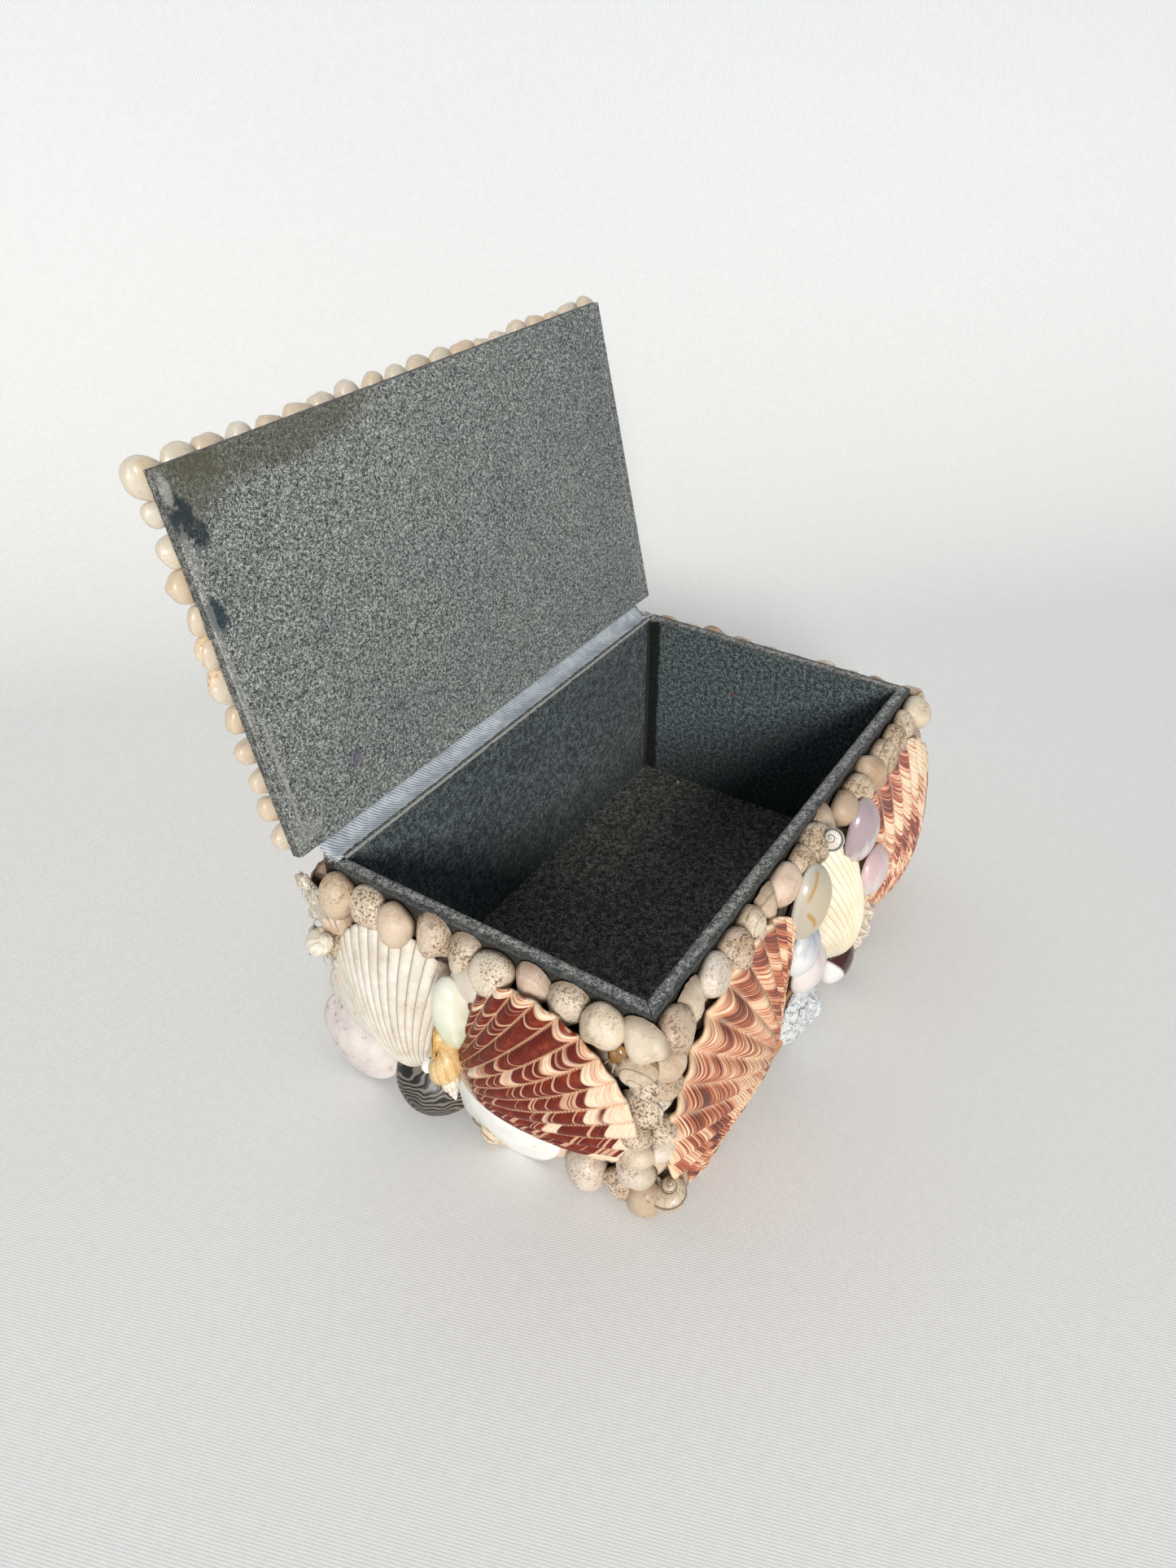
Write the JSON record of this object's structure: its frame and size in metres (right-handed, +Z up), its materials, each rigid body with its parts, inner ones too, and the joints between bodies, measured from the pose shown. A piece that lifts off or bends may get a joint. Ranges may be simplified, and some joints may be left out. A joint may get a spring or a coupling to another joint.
{
  "type": "shell-covered keepsake box",
  "caption": "Rectangular felt-lined board box with a cloth-hinged lid, its walls and lid covered in glued sea shells.",
  "frame": {"origin": "centre of the base board's underside, where the box rests", "axes": "+X along the hinge to the right, +Y from the front to the hinge, +Z up"},
  "size_m": [0.2009, 0.154, 0.1793],
  "materials": {
    "board": "bare grey-brown card, matt",
    "felt": "short grey felt flecked light and dark",
    "tape": "pale blue-grey twill, worn at its ends",
    "small_shell": "chalky, pitted and speckled beige",
    "calico_shell": "ribbed, cream with red-brown wavy bands",
    "cream_shell": "ribbed, white to cream, satin",
    "white_shell": "smooth, glossy white to pale green",
    "lavender_shell": "smooth, glossy pink to lavender",
    "amber_shell": "translucent, amber to cream",
    "pearl_shell": "blue-grey mother of pearl",
    "olive_shell": "glossy, olive with thin black stripes",
    "grey_shell": "rough grey-white crust"
  },
  "bodies": {
    "box": {"base_board": "board", "wall_front": "board", "wall_back": "board", "wall_left": "board", "wall_right": "board", "lining_floor": "felt", "lining_front": "felt", "lining_back": "felt", "lining_left": "felt", "lining_right": "felt", "hinge_tape": "tape", "rim_row_front": "small_shell", "foot_row_front": "small_shell", "column_front_left": "small_shell", "column_front_right": "small_shell", "scallop_front_left": "calico_shell", "scallop_front_right": "calico_shell", "cockle_front": "cream_shell", "oval_amber_front": "amber_shell", "oval_lavender_front": "lavender_shell", "clam_pink_front": "lavender_shell", "clam_lavender_front": "lavender_shell", "oval_pearl_front": "pearl_shell", "barnacle_front": "grey_shell", "snail_brown_front": "small_shell", "rim_row_right": "small_shell", "foot_row_right": "small_shell", "column_right_front": "small_shell", "column_right_back": "small_shell", "cockle_right": "cream_shell", "scallop_right": "calico_shell", "rim_row_back": "small_shell", "foot_row_back": "small_shell", "scallop_back": "calico_shell", "cockle_back_left": "cream_shell", "cockle_back_right": "cream_shell", "rim_row_left": "small_shell", "foot_row_left": "small_shell", "column_left_front": "small_shell", "column_left_back": "small_shell", "clam_lavender_left": "lavender_shell", "cockle_left": "cream_shell", "nerite_left": "olive_shell", "clam_white_left": "white_shell", "scallop_left": "calico_shell", "snail_yellow_left": "amber_shell", "oval_green_left": "white_shell", "snail_rough_left": "cream_shell"},
    "lid": {"lid_lining": "felt", "lid_board": "board", "lid_row_front": "small_shell", "lid_row_back": "small_shell", "lid_row_left": "small_shell", "lid_row_right": "small_shell", "scallop_lid": "calico_shell", "cockle_lid_left": "cream_shell", "cockle_lid_right": "cream_shell"}
  },
  "joints": [
    {"name": "lid_hinge", "type": "hinge", "parent": "box", "child": "lid", "pos_m": [0, 0.05325, 0.0723], "axis": [1, 0, 0], "range_deg": [0, 102.7], "deforming": ["hinge_tape"]}
  ]
}
